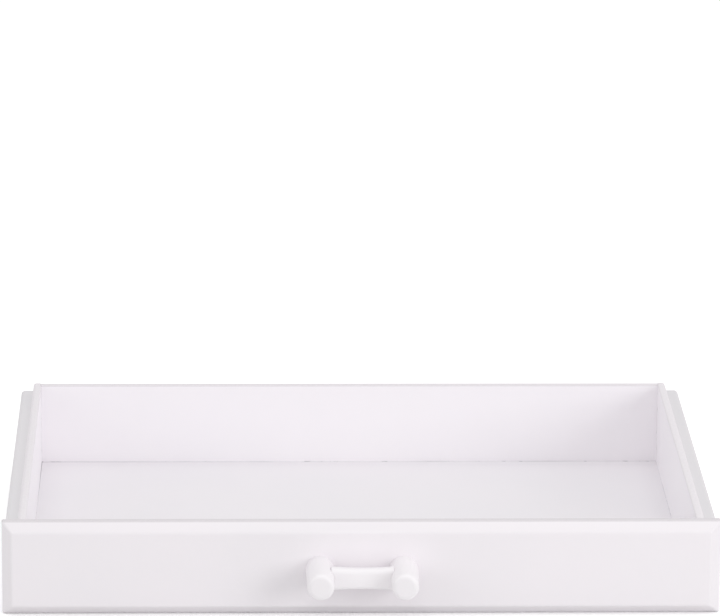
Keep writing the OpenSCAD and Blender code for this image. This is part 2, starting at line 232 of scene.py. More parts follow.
class FinishSettings(bpy.types.PropertyGroup):
    """Colours of the finishes"""

    panel_light: colour("Panel light", "Lighter tone of the front panel", (0.845, 0.808, 0.838))
    panel_shade: colour("Panel shade", "Cooler tone of the front panel", (0.828, 0.797, 0.826))
    # Painted light: a paler patch above the handle's bar that lifts the shade the handle casts there
    panel_painted_light: colour("Panel rubbed", "Paler tone of the panel's rubbed patch", (0.965, 0.924, 0.958))
    wall_light: colour("Wall light", "Lighter tone of the walls", (0.95, 0.922, 0.95))
    wall_shade: colour("Wall shade", "Cooler tone of the walls", (0.936, 0.91, 0.94))
    floor_light: colour("Floor light", "Lighter tone of the floor sheet", (0.85, 0.824, 0.85))
    floor_shade: colour("Floor shade", "Cooler tone of the floor sheet", (0.836, 0.814, 0.842))
    # Painted shade: the runners' white darkened to the tone of their shaded up-facing tops
    painted_shade_runner_pale: colour("Runner light", "Lighter tone of the runner strips", (0.74, 0.717, 0.738))
    painted_shade_runner_cool: colour("Runner shade", "Rubbed tone of the runner strips", (0.712, 0.695, 0.717))
    # Raw tone and painted shade: up-facing top edges darker, the panel's most, then the back board's
    panel_edge_and_shade: colour("Panel cut", "Raw tone of the cut top edge of the panel", (0.705, 0.674, 0.698))
    back_edge_and_shade: colour("Back cut", "Raw tone of the cut top edge of the back board", (0.765, 0.732, 0.758))
    side_edge_and_shade: colour("Side cut", "Raw tone of the cut top edges of the side boards", (0.803, 0.77, 0.796))
    # Dust and painted shade: a dark line in the joints, thickest by the back corners
    joint_dust_and_shade: colour("Joint grey", "Dust that darkens the open joints", (0.45, 0.45, 0.47))
    handle_light: colour("Handle light", "Lighter tone of the handle", (0.888, 0.86, 0.882))
    handle_shade: colour("Handle shade", "Cooler tone of the handle", (0.874, 0.848, 0.872))
    # Painted shade: the front-facing ends of the posts darker than their tops
    post_end_painted_shade: colour("Handle end", "Duller tone of the ends of the posts", (0.835, 0.808, 0.831))
    zinc_light: colour("Zinc light", "Bright zinc plate", (0.72, 0.73, 0.75))
    zinc_dark: colour("Zinc dark", "Dull zinc plate", (0.5, 0.52, 0.56))
    brass_light: colour("Brass light", "Bright turned brass", (0.8, 0.65, 0.32))
    brass_dark: colour("Brass dark", "Tarnished brass", (0.55, 0.42, 0.18))
    wood_light: colour("Wood light", "Light growth of the beech dowels", (0.68, 0.5, 0.3))
    wood_dark: colour("Wood dark", "Dark growth of the beech dowels", (0.48, 0.31, 0.16))


class StageSettings(bpy.types.PropertyGroup):
    """Camera, lamps and floor"""

    camera_place: FloatVectorProperty(
        name="Camera place", description="Where the camera stands", size=3,
        default=(-0.08738, -3.12881, 1.0127), subtype="TRANSLATION", unit="LENGTH",
    )
    camera_pitch: angle("Camera pitch", "How far the camera looks down", 15.4116)
    camera_yaw: angle("Camera yaw", "How far the camera looks to the right", 1.6374)
    camera_roll: angle("Camera roll", "How far the camera leans to the left", 0.4119)
    camera_lens: FloatProperty(
        name="Camera lens", description="Focal length on a 36 mm sensor", default=262.3945, unit="CAMERA"
    )
    key_place: FloatVectorProperty(
        name="Key place", description="Where the soft key lamp stands", size=3,
        default=(1.48, -1.64, 0.65), subtype="TRANSLATION", unit="LENGTH",
    )
    key_size: length("Key size", "Side of the square key lamp and of the fill lamp", 0.9)
    key_power: FloatProperty(name="Key power", description="Power of the key lamp in watts", default=11.0)
    fill_place: FloatVectorProperty(
        name="Fill place", description="Where the weaker fill lamp stands", size=3,
        default=(-1.63, -1.46, 0.71), subtype="TRANSLATION", unit="LENGTH",
    )
    fill_power: FloatProperty(name="Fill power", description="Power of the fill lamp in watts", default=3.0)
    top_height: length("Top height", "Height of the top lamp over the floor", 2.4)
    top_size: length("Top size", "Side of the square top lamp", 2.0)
    top_power: FloatProperty(name="Top power", description="Power of the top lamp in watts", default=10.5)
    ambient: FloatProperty(name="Ambient", description="Strength of the light from all round", default=0.76)
    floor_half: length("Floor half", "Half the width of the floor", 6.0)
    floor_drop: length("Floor drop", "Gap between the floor and the underside", 0.05 * MM)
    floor_colour: colour("Floor colour", "Colour of the floor", (0.85, 0.85, 0.85))
    floor_gain: FloatProperty(
        name="Floor gain", description="How bright the floor looks, so that it is white past its shadow",
        default=1.22,
    )


def block(low, high):
    """A box between two corners."""
    bm = bmesh.new()
    bmesh.ops.create_cube(bm, size=1.0)
    bmesh.ops.scale(bm, vec=high - low, verts=bm.verts)
    bmesh.ops.translate(bm, vec=(low + high) / 2, verts=bm.verts)
    return bm


def edges_on(bm, x=None, y=None, z=None):
    """Edges that lie on each of the given planes."""
    planes = [(axis, value) for axis, value in enumerate((x, y, z)) if value is not None]
    return [
        edge for edge in bm.edges
        if all(abs(vert.co[axis] - value) < TOUCH for axis, value in planes for vert in edge.verts)
    ]


def round_edges(bm, edges, radius, segments):
    """Rounds edges with a bevel."""
    bmesh.ops.bevel(
        bm, geom=edges, offset=radius, offset_type="OFFSET", segments=segments,
        profile=0.5, affect="EDGES", material=-1, clamp_overlap=True,
    )


def turned(outline, axis):
    """Spins a half outline round an axis through its first point."""
    bm = bmesh.new()
    verts = [bm.verts.new(point) for point in outline]
    edges = [bm.edges.new(pair) for pair in zip(verts, verts[1:])]
    bmesh.ops.spin(
        bm, geom=verts + edges, cent=outline[0], axis=axis, angle=math.tau, steps=TURN_STEPS, use_merge=True
    )
    bmesh.ops.remove_doubles(bm, verts=bm.verts, dist=MERGE)
    bmesh.ops.recalc_face_normals(bm, faces=bm.faces)
    return bm


def new_object(name, bm):
    """An object in the scene from a bmesh, which is freed."""
    mesh = bpy.data.meshes.new(name)
    bm.to_mesh(mesh)
    bm.free()
    made = bpy.data.objects.new(name, mesh)
    bpy.context.scene.collection.objects.link(made)
    return made


def cut(piece, cutter_bm):
    """Takes a cutting shape out of a piece."""
    cutter = new_object("cutter", cutter_bm)
    modifier = piece.modifiers.new("Cut", "BOOLEAN")
    modifier.operation = "DIFFERENCE"
    modifier.solver = "EXACT"
    modifier.object = cutter
    shaped = piece.evaluated_get(bpy.context.evaluated_depsgraph_get())
    mesh = bpy.data.meshes.new_from_object(shaped)
    whole = piece.data
    piece.modifiers.clear()
    piece.data = mesh
    for leftover in (whole, cutter.data):
        bpy.data.meshes.remove(leftover)
    mesh.name = piece.name


def add_pocket(bm, mouth, outward, mouth_radius, floor_radius, depth):
    """Adds the cutting shape of a round pocket whose mouth is centred on a point of a face."""
    slope = (mouth_radius - floor_radius) / depth
    middle = mouth + outward * (PAST - depth) / 2
    turn = outward.to_track_quat("Z", "Y").to_matrix().to_4x4()
    bmesh.ops.create_cone(
        bm, cap_ends=True, segments=POCKET_SEGMENTS, radius1=floor_radius,
        radius2=mouth_radius + slope * PAST, depth=depth + PAST, matrix=Matrix.Translation(middle) @ turn,
    )


def solids_of(node):
    """The lowest and highest corner of each separate solid in a CAD node."""
    bm = bmesh.new()
    bm.from_mesh(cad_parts[node].data)
    bmesh.ops.remove_doubles(bm, verts=bm.verts, dist=MERGE)
    unseen = set(bm.verts)
    boxes = []
    while unseen:
        solid = []
        queue = [unseen.pop()]
        while queue:
            vert = queue.pop()
            solid.append(vert.co.copy())
            joined = {edge.other_vert(vert) for edge in vert.link_edges} & unseen
            unseen -= joined
            queue.extend(joined)
        low = Vector([min(point[axis] for point in solid) for axis in range(3)])
        high = Vector([max(point[axis] for point in solid) for axis in range(3)])
        boxes.append((low, high))
    bm.free()
    return sorted(boxes, key=lambda corners: tuple(corners[0]))


def head_pockets(nodes, outward, floor_radius, depth, gap):
    """Cutting shapes for the heads of the fasteners in some nodes, which all face one way.

    Without a floor radius the pockets have straight sides.
    """
    axis = max(range(3), key=lambda i: abs(outward[i]))
    across = (axis + 1) % 3
    bm = bmesh.new()
    for node in nodes:
        for low, high in solids_of(node):
            mouth = (low + high) / 2
            mouth[axis] = (high if outward[axis] > 0 else low)[axis]
            radius = (high - low)[across] / 2 + gap
            add_pocket(bm, mouth, outward, radius, floor_radius or radius, depth)
    return bm


def dress(piece, slot, material, *nodes):
    """Shades a piece, gives it its finish and has it stand for its CAD nodes."""
    piece.data.shade_smooth()
    piece.data.set_sharp_from_angle(angle=CRISP_ANGLE)
    shading = piece.modifiers.new("Even flats", "WEIGHTED_NORMAL")
    shading.keep_sharp = True
    piece.data.materials.clear()
    piece.data.materials.append(material)
    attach(piece, BODY)
    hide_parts(*nodes)


def put(tree, kind, inputs, **settings):
    """Adds a node, and fills its inputs with values or links."""
    node = tree.nodes.new(kind)
    for name, value in settings.items():
        setattr(node, name, value)
    for key, value in inputs.items():
        if isinstance(value, bpy.types.NodeSocket):
            tree.links.new(value, node.inputs[key])
        else:
            node.inputs[key].default_value = value
    return node


def calc(tree, operation, *values):
    """The result of an operation on one or two values."""
    return put(tree, "ShaderNodeMath", dict(enumerate(values)), operation=operation).outputs[0]


def noise(tree, vector, scale, detail):
    """Values of a noise texture from 0 to 1."""
    return put(tree, "ShaderNodeTexNoise", {"Vector": vector, "Scale": scale, "Detail": detail}).outputs[0]


def ramp(tree, value, start, end, low, high):
    """A value carried smoothly from one range to another, and held at the ends."""
    inputs = {"Value": value, "From Min": start, "From Max": end, "To Min": low, "To Max": high}
    return put(tree, "ShaderNodeMapRange", inputs, interpolation_type="SMOOTHSTEP").outputs[0]


def mixed(tree, factor, first, second):
    """One colour turned into another by a factor."""
    node = put(tree, "ShaderNodeMix", {0: factor, 6: first, 7: second}, data_type="RGBA")
    return node.outputs[2]


def opaque(rgb):
    """A colour with full alpha."""
    return (*rgb, 1.0)


def new_group(name, inputs, outputs):
    """A shader node group with its sockets, or the one that was made before."""
    found = bpy.data.node_groups.get(name)
    if found:
        return found, None, None
    tree = bpy.data.node_groups.new(name, "ShaderNodeTree")
    for way, sockets in (("INPUT", inputs), ("OUTPUT", outputs)):
        for label, kind in sockets.items():
            tree.interface.new_socket(label, in_out=way, socket_type=f"NodeSocket{kind}")
    return tree, tree.nodes.new("NodeGroupInput"), tree.nodes.new("NodeGroupOutput")


def satin_skin_group():
    """Cloudy tone, uneven sheen and a faint orange peel, as on a sprayed or moulded white skin."""
    inputs = {
        "Vector": "Vector", "Light": "Color", "Shade": "Color", "Cloud Scale": "Float",
        "Peel Scale": "Float", "Roughness": "Float", "Roughness Spread": "Float",
    }
    outputs = {"Color": "Color", "Roughness": "Float", "Height": "Float"}
    tree, given, result = new_group("Satin Skin", inputs, outputs)
    if given:
        place = given.outputs["Vector"]
        clouds = noise(tree, place, given.outputs["Cloud Scale"], PLAIN_DETAIL)
        cloud = ramp(tree, clouds, *CLOUD_BAND, *NONE_TO_FULL)
        peel = noise(tree, place, given.outputs["Peel Scale"], SOFT_DETAIL)
        swing = calc(tree, "SUBTRACT", cloud, 0.5)
        spread = calc(tree, "MULTIPLY", swing, given.outputs["Roughness Spread"])
        roughness = calc(tree, "ADD", spread, given.outputs["Roughness"])
        tone = mixed(tree, cloud, given.outputs["Shade"], given.outputs["Light"])
        for label, value in (("Color", tone), ("Roughness", roughness), ("Height", peel)):
            tree.links.new(value, result.inputs[label])
    return tree


def joint_line_group():
    """Broken, speckled dust and painted shade along a joint, from the distance to it and how much has
    gathered.
    """
    inputs = {"Vector": "Vector", "Distance": "Float", "Width": "Float", "Gathered": "Float"}
    tree, given, result = new_group("Joint Line", inputs, {"Mask": "Float"})
    if given:
        place = given.outputs["Vector"]
        near = ramp(tree, given.outputs["Distance"], 0.0, given.outputs["Width"], *FULL_TO_NONE)
        broken = ramp(tree, noise(tree, place, BREAK_SCALE, SOFT_DETAIL), *BREAK_BAND, *BREAK_SHADE_AND_DUST)
        speck = ramp(tree, noise(tree, place, SPECK_SCALE, PLAIN_DETAIL), *SPECK_BAND, *SPECK_SHADE_AND_DUST)
        dust = calc(tree, "MAXIMUM", calc(tree, "MAXIMUM", broken, speck), given.outputs["Gathered"])
        tree.links.new(calc(tree, "MULTIPLY", near, dust), result.inputs["Mask"])
    return tree


def edge_and_shade_group():
    """Darker, finely pored tone of a top edge, raw tone and painted shade, from the depth below the top of
    the boards.
    """
    inputs = {"Vector": "Vector", "Depth": "Float", "Width": "Float"}
    tree, given, result = new_group("Edge And Shade", inputs, {"Mask": "Float"})
    if given:
        share = calc(tree, "DIVIDE", given.outputs["Depth"], given.outputs["Width"])
        top = ramp(tree, share, EDGE_SHADE_FADE, 1.0, *FULL_TO_NONE)
        fine = noise(tree, given.outputs["Vector"], PORE_SCALE, PLAIN_DETAIL)
        pores = ramp(tree, fine, *PORE_BAND, *PORE_COVER)
        tree.links.new(calc(tree, "MULTIPLY", top, pores), result.inputs["Mask"])
    return tree


def plated_metal_group():
    """Patchy tone and roughness of a small turned or plated metal piece."""
    inputs = {"Vector": "Vector", "Light": "Color", "Dark": "Color", "Scale": "Float"}
    tree, given, result = new_group("Plated Metal", inputs, {"Color": "Color", "Roughness": "Float"})
    if given:
        patch = noise(tree, given.outputs["Vector"], given.outputs["Scale"], SHARP_DETAIL)
        tarnish = ramp(tree, patch, *TARNISH_BAND, *NONE_TO_FULL)
        tone = mixed(tree, tarnish, given.outputs["Light"], given.outputs["Dark"])
        tree.links.new(tone, result.inputs["Color"])
        tree.links.new(ramp(tree, patch, *POLISH_BAND, *METAL_ROUGHNESS), result.inputs["Roughness"])
    return tree


def new_material(name):
    """A node material with its tree, its Principled shader and its Object coordinates."""
    material = bpy.data.materials.new(name)
    material.use_nodes = True
    tree = material.node_tree
    tree.nodes.clear()
    shader = put(tree, "ShaderNodeBsdfPrincipled", {})
    put(tree, "ShaderNodeOutputMaterial", {"Surface": shader.outputs[0]})
    place = put(tree, "ShaderNodeTexCoord", {}).outputs["Object"]
    return material, tree, shader, place


def grouped(tree, group, inputs):
    """The outputs of a group node in a material."""
    return put(tree, "ShaderNodeGroup", inputs, node_tree=group).outputs


def skin_material(name, light, shade, skin_sheen, marks=()):
    """A white skin with marks: functions that make a mask, and the colour and roughness to lay on there."""
    roughness, peel_scale, peel_depth = skin_sheen
    material, tree, shader, place = new_material(name)
    skin = grouped(tree, satin_skin_group(), {
        "Vector": place, "Light": opaque(light), "Shade": opaque(shade), "Cloud Scale": CLOUD_SCALE,
        "Peel Scale": peel_scale, "Roughness": roughness, "Roughness Spread": ROUGHNESS_SPREAD,
    })
    tone = skin["Color"]
    sheen = skin["Roughness"]
    for make_mask, mark_colour, mark_roughness in marks:
        mask = make_mask(tree, place)
        tone = mixed(tree, mask, tone, opaque(mark_colour))
        sheen = ramp(tree, mask, *NONE_TO_FULL, sheen, mark_roughness)
    peel = {"Height": skin["Height"], "Strength": PEEL_STRENGTH, "Distance": peel_depth}
    bump = put(tree, "ShaderNodeBump", peel)
    tree.links.new(tone, shader.inputs["Base Color"])
    tree.links.new(sheen, shader.inputs["Roughness"])
    tree.links.new(bump.outputs[0], shader.inputs["Normal"])
    return material


def split(tree, vector):
    """The three coordinates of a place."""
    return put(tree, "ShaderNodeSeparateXYZ", {0: vector}).outputs


def gap_to(tree, value, plane):
    """Distance of a coordinate from a plane."""
    return calc(tree, "ABSOLUTE", calc(tree, "SUBTRACT", value, plane))


def joint_mask(tree, place, distance, width, gathered=0.0):
    """Where dust and painted shade lie in a joint, from the distance to it and how much has gathered there.
    """
    inputs = {"Vector": place, "Distance": distance, "Width": width, "Gathered": gathered}
    return grouped(tree, joint_line_group(), inputs)["Mask"]


def corner_dust_and_shade(tree, x, y):
    """How thick the dust and painted shade are along the left side and the back, most of it by the corners.
    """
    along_left = ramp(tree, x, FLOOR_JOINT - INNER_HALF, 2 * FLOOR_JOINT - INNER_HALF, *FULL_TO_NONE)
    near_back = ramp(tree, y, INNER_BACK - SHADE_AND_DUST_SIDE_REACH, INNER_BACK, 0.0, SHADE_AND_DUST_SIDE)
    along_back = ramp(tree, y, INNER_BACK - 2 * BACK_JOINT, INNER_BACK - BACK_JOINT, *NONE_TO_FULL)
    full_until = SHADE_AND_DUST_BACK_REACH / 2 - INNER_HALF
    near_left = ramp(tree, x, full_until, SHADE_AND_DUST_BACK_REACH - INNER_HALF, SHADE_AND_DUST_LEFT, 0.0)
    near_right = ramp(tree, x, INNER_HALF - SHADE_AND_DUST_BACK_REACH, INNER_HALF, 0.0, SHADE_AND_DUST_RIGHT)
    at_side = calc(tree, "MULTIPLY", along_left, near_back)
    at_back = calc(tree, "MULTIPLY", along_back, calc(tree, "MAXIMUM", near_left, near_right))
    return calc(tree, "MAXIMUM", at_side, at_back)


def wall_joint_mask(tree, place):
    """Dust and painted shade along the foot of the walls and in the upright joints of the back corners."""
    x, y, z = split(tree, place)
    across = gap_to(tree, calc(tree, "ABSOLUTE", x), INNER_HALF)
    corner = calc(tree, "MAXIMUM", across, gap_to(tree, y, INNER_BACK))
    upright = joint_mask(tree, place, corner, WALL_JOINT)
    foot = joint_mask(tree, place, gap_to(tree, z, FLOOR_TOP), WALL_JOINT, corner_dust_and_shade(tree, x, y))
    return calc(tree, "MAXIMUM", upright, foot)


def floor_joint_mask(tree, place):
    """Dust and painted shade round the floor sheet, along the walls that stand on it, in a wider band along
    the back.
    """
    x, y, _ = split(tree, place)
    sides = gap_to(tree, calc(tree, "ABSOLUTE", x), INNER_HALF)
    front = gap_to(tree, y, INNER_FRONT)
    back = calc(tree, "MULTIPLY", gap_to(tree, y, INNER_BACK), FLOOR_JOINT / BACK_JOINT)
    distance = calc(tree, "MINIMUM", sides, calc(tree, "MINIMUM", front, back))
    return joint_mask(tree, place, distance, FLOOR_JOINT, corner_dust_and_shade(tree, x, y))


def painted_light_mask(tree, place):
    """A soft-edged patch of painted light on the panel's face, behind and over the bar, lifting the shade
    that the handle casts there.
    """
    x, y, z = split(tree, place)
    across = calc(tree, "DIVIDE", x, PAINTED_LIGHT_STRETCH)
    upward = gap_to(tree, z, PAINTED_LIGHT_HEIGHT)
    offset = put(tree, "ShaderNodeCombineXYZ", {"X": across, "Z": upward}).outputs[0]
    away = put(tree, "ShaderNodeVectorMath", {0: offset}, operation="LENGTH").outputs["Value"]
    patch = ramp(tree, away, 0.0, PAINTED_LIGHT_REACH, *FULL_TO_NONE)
    above = ramp(tree, z, PAINTED_LIGHT_FOOT, PAINTED_LIGHT_HEIGHT, *NONE_TO_FULL)
    on_face = ramp(tree, gap_to(tree, y, PANEL_FACE), 0.0, PAINTED_LIGHT_DEPTH, *FULL_TO_NONE)
    patchy = ramp(tree, noise(tree, place, PAINTED_LIGHT_SCALE, PLAIN_DETAIL), *PAINTED_LIGHT_BAND, *PAINTED_LIGHT_COVER)
    where = calc(tree, "MULTIPLY", calc(tree, "MULTIPLY", patch, above), on_face)
    return calc(tree, "MULTIPLY", where, patchy)


def painted_end_shade_mask(tree, place):
    """Painted shade on the front-facing ends of the handle's posts."""
    depth = gap_to(tree, split(tree, place)[1], HANDLE_TIP)
    return ramp(tree, depth, 0.0, END_SHADE_DEPTH, *FULL_TO_NONE)


def edge_and_shade_mask(tree, place, width):
    """The darker top edges of the panel and the walls, raw tone and painted shade, down to a width below
    their top.
    """
    depth = calc(tree, "SUBTRACT", CAD_HIGH.z, split(tree, place)[2])
    return grouped(tree, edge_and_shade_group(), {"Vector": place, "Depth": depth, "Width": width})["Mask"]


def metal_material(name, light, dark, scale):
    """A small metal piece."""
    material, tree, shader, place = new_material(name)
    metal = grouped(tree, plated_metal_group(), {
        "Vector": place, "Light": opaque(light), "Dark": opaque(dark), "Scale": scale,
    })
    shader.inputs["Metallic"].default_value = 1.0
    tree.links.new(metal["Color"], shader.inputs["Base Color"])
    tree.links.new(metal["Roughness"], shader.inputs["Roughness"])
    return material


def wood_material(name, light, dark):
    """Beech with its grain along the dowels."""
    material, tree, shader, place = new_material(name)
    stretched = put(tree, "ShaderNodeMapping", {"Vector": place, "Scale": GRAIN_STRETCH}).outputs[0]
    fibres = noise(tree, stretched, GRAIN_SCALE, SHARP_DETAIL)
    grain = ramp(tree, fibres, *GRAIN_BAND, *NONE_TO_FULL)
    tree.links.new(mixed(tree, grain, opaque(light), opaque(dark)), shader.inputs["Base Color"])
    tree.links.new(ramp(tree, grain, *NONE_TO_FULL, *WOOD_ROUGHNESS), shader.inputs["Roughness"])
    return material


class DRAWER_OT_front_panel(bpy.types.Operator):
    """Makes the bevelled front panel with its rebate and screw recesses"""

    bl_idname = "drawer.front_panel"
    bl_label = "Front Panel"

    def execute(self, context):
        boards = context.scene.drawer_boards
        finish = context.scene.drawer_finish
        low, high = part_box("front_panel")
        bm = block(low, high)
        round_edges(bm, edges_on(bm, y=low.y), boards.panel_bevel, 1)
        back_edges = set(edges_on(bm, y=high.y))
        round_edges(bm, [e for e in bm.edges if e not in back_edges], boards.panel_arris, SMALL_SEGMENTS)
        round_edges(bm, edges_on(bm, y=high.y), boards.board_edge, SMALL_SEGMENTS)
        panel = new_object("front_board", bm)

        clearance = Vector((1.0, 1.0, 1.0)) * boards.floor_clearance
        floor_low, floor_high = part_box("bottom_board")
        rebate_low = floor_low - clearance - Vector((0.0, 0.0, PAST))
        rebate_high = floor_high + clearance
        rebate_high.y = high.y + PAST
        cut(panel, block(rebate_low, rebate_high))
        recesses = bmesh.new()
        for node in WASHER_NODES:
            washer_low, washer_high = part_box(node)
            mouth = (washer_low + washer_high) / 2
            mouth.y = high.y
            radius = boards.recess_radius
            add_pocket(recesses, mouth, Vector((0.0, 1.0, 0.0)), radius, radius, high.y - washer_low.y)
        cut(panel, recesses)
        material = skin_material(
            "panel_skin", finish.panel_light, finish.panel_shade, PANEL_SHEEN,
            [
                # Painted light above the handle's bar
                (painted_light_mask, finish.panel_painted_light, PAINTED_LIGHT_ROUGHNESS),
                # Darker top edge: raw tone and painted shade
                (partial(edge_and_shade_mask, width=PANEL_EDGE_SHADE), finish.panel_edge_and_shade, RAW_ROUGHNESS),
            ],
        )
        dress(panel, "front_board", material, "front_panel")
        return {"FINISHED"}


def wall_material(name, finish, edge_and_shade_colour):
    """The white of the walls, with dust and painted shade in their joints and a darker top edge of raw tone
    and painted shade.
    """
    return skin_material(
        name, finish.wall_light, finish.wall_shade, WALL_SHEEN,
        [
            # Dust and painted shade in the joints
            (wall_joint_mask, finish.joint_dust_and_shade, RAW_ROUGHNESS),
            # Darker top edge: raw tone and painted shade
            (partial(edge_and_shade_mask, width=WALL_EDGE_SHADE), edge_and_shade_colour, RAW_ROUGHNESS),
        ],
    )


class DRAWER_OT_side_boards(bpy.types.Operator):
    """Makes the two side boards"""

    bl_idname = "drawer.side_boards"
    bl_label = "Side Boards"

    def execute(self, context):
        boards = context.scene.drawer_boards
        finish = context.scene.drawer_finish
        material = wall_material("side_skin", finish, finish.side_edge_and_shade)
        for side in SIDES:
            node = f"{side}_side_board"
            low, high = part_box(node)
            inner, outer = sorted((low.x, high.x), key=abs)
            bm = block(low, high)
            round_edges(bm, edges_on(bm, x=outer, z=high.z), boards.wall_outer_edge, LARGE_SEGMENTS)
            round_edges(bm, edges_on(bm, x=inner, z=high.z), boards.wall_inner_edge, SMALL_SEGMENTS)
            round_edges(bm, edges_on(bm, x=outer, z=low.z), boards.board_edge, SMALL_SEGMENTS)
            end_edges = edges_on(bm, y=low.y) + edges_on(bm, y=high.y)
            round_edges(bm, end_edges, boards.board_edge, SMALL_SEGMENTS)
            board = new_object(f"{side}_wall", bm)
            outward = Vector((math.copysign(1.0, outer), 0.0, 0.0))
            pins = [f"{side}_back_pins"]
            cut(board, head_pockets(pins, outward, None, boards.pin_head_depth, boards.head_gap))
            dress(board, "wall_board", material, node)
        return {"FINISHED"}


class DRAWER_OT_back_board(bpy.types.Operator):
    """Makes the back board between the side boards"""

    bl_idname = "drawer.back_board"
    bl_label = "Back Board"

    def execute(self, context):
        boards = context.scene.drawer_boards
        finish = context.scene.drawer_finish
        low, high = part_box("back_board")
        bm = block(low, high)
        round_edges(bm, edges_on(bm, y=high.y, z=high.z), boards.wall_outer_edge, LARGE_SEGMENTS)
        round_edges(bm, edges_on(bm, y=low.y, z=high.z), boards.wall_inner_edge, SMALL_SEGMENTS)
        round_edges(bm, edges_on(bm, y=high.y, z=low.z), boards.board_edge, SMALL_SEGMENTS)
        board = new_object("back_wall", bm)
        dress(board, "wall_board", wall_material("back_skin", finish, finish.back_edge_and_shade), "back_board")
        return {"FINISHED"}


class DRAWER_OT_floor_sheet(bpy.types.Operator):
    """Makes the floor sheet under the walls"""

    bl_idname = "drawer.floor_sheet"
    bl_label = "Floor Sheet"

    def execute(self, context):
        boards = context.scene.drawer_boards
        finish = context.scene.drawer_finish
        bm = block(*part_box("bottom_board"))
        round_edges(bm, list(bm.edges), boards.board_edge, SMALL_SEGMENTS)
        sheet = new_object("floor_sheet", bm)
        floor_pins = [node for node in PIN_NODES if "floor" in node]
        downward = Vector((0.0, 0.0, -1.0))
        cut(sheet, head_pockets(floor_pins, downward, None, boards.pin_head_depth, boards.head_gap))
        material = skin_material(
            "floor_skin", finish.floor_light, finish.floor_shade, FLOOR_SHEEN,
            # Dust and painted shade in the floor's joints
            [(floor_joint_mask, finish.joint_dust_and_shade, RAW_ROUGHNESS)],
        )
        dress(sheet, "floor_board", material, "bottom_board")
        return {"FINISHED"}


class DRAWER_OT_runners(bpy.types.Operator):
    """Makes the runner strip of each side"""

    bl_idname = "drawer.runners"
    bl_label = "Runners"

    def execute(self, context):
        boards = context.scene.drawer_boards
        finish = context.scene.drawer_finish
        # Painted shade: the runners' darker white
        material = skin_material("painted_shade_runner_white", finish.painted_shade_runner_pale, finish.painted_shade_runner_cool, RUNNER_SHEEN)
        for side in SIDES:
            node = f"{side}_runner"
            low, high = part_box(node)
            inner, outer = sorted((low.x, high.x), key=abs)
            bm = block(low, high)
            outer_edges = edges_on(bm, x=outer, z=high.z) + edges_on(bm, x=outer, z=low.z)
            round_edges(bm, outer_edges, boards.runner_edge, LARGE_SEGMENTS)
            wall_edges = set(edges_on(bm, x=inner))
            end_edges = [e for e in edges_on(bm, y=high.y) if e not in wall_edges]
            round_edges(bm, end_edges, boards.runner_end, SMALL_SEGMENTS)
            strip = new_object(f"{side}_runner_strip", bm)
            outward = Vector((math.copysign(1.0, outer), 0.0, 0.0))
            screws = [f"{side}_runner_screws"]
            shank = boards.screw_shank + boards.head_gap
            cut(strip, head_pockets(screws, outward, shank, boards.screw_head_depth, boards.head_gap))
            dress(strip, "runner_board", material, node)
        return {"FINISHED"}


def handle_material(finish):
    """The smooth white of the handle."""
    found = bpy.data.materials.get("handle_skin")
    return found or skin_material(
        "handle_skin", finish.handle_light, finish.handle_shade, HANDLE_SHEEN,
        # Painted shade on the posts' front-facing ends
        [(painted_end_shade_mask, finish.post_end_painted_shade, END_SHADE_ROUGHNESS)],
    )


class DRAWER_OT_handle_posts(bpy.types.Operator):
    """Makes the two turned posts of the handle"""

    bl_idname = "drawer.handle_posts"
    bl_label = "Handle Posts"

    def execute(self, context):
        handle = context.scene.drawer_handle
        for side in SIDES:
            node = f"{side}_handle_post"
            low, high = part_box(node)
            insert_low, insert_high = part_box(f"{side}_handle_insert")
            bore = (insert_high.x - insert_low.x) / 2
            axis = (low + high) / 2
            outline = [
                (axis.x, insert_low.y, axis.z), (axis.x + bore, insert_low.y, axis.z),
                (axis.x + bore, high.y, axis.z), (high.x, high.y, axis.z),
                (axis.x + handle.post_end_radius, low.y, axis.z), (axis.x, low.y, axis.z),
            ]
            bm = turned(outline, Vector((0.0, 1.0, 0.0)))
            rim = [
                edge for edge in edges_on(bm, y=low.y)
                if all((vert.co - axis).xz.length > handle.post_edge for vert in edge.verts)
            ]
            round_edges(bm, rim, handle.post_edge, LARGE_SEGMENTS)
            post = new_object(f"{side}_post", bm)
            dress(post, "handle_plastic", handle_material(context.scene.drawer_finish), node)
        return {"FINISHED"}


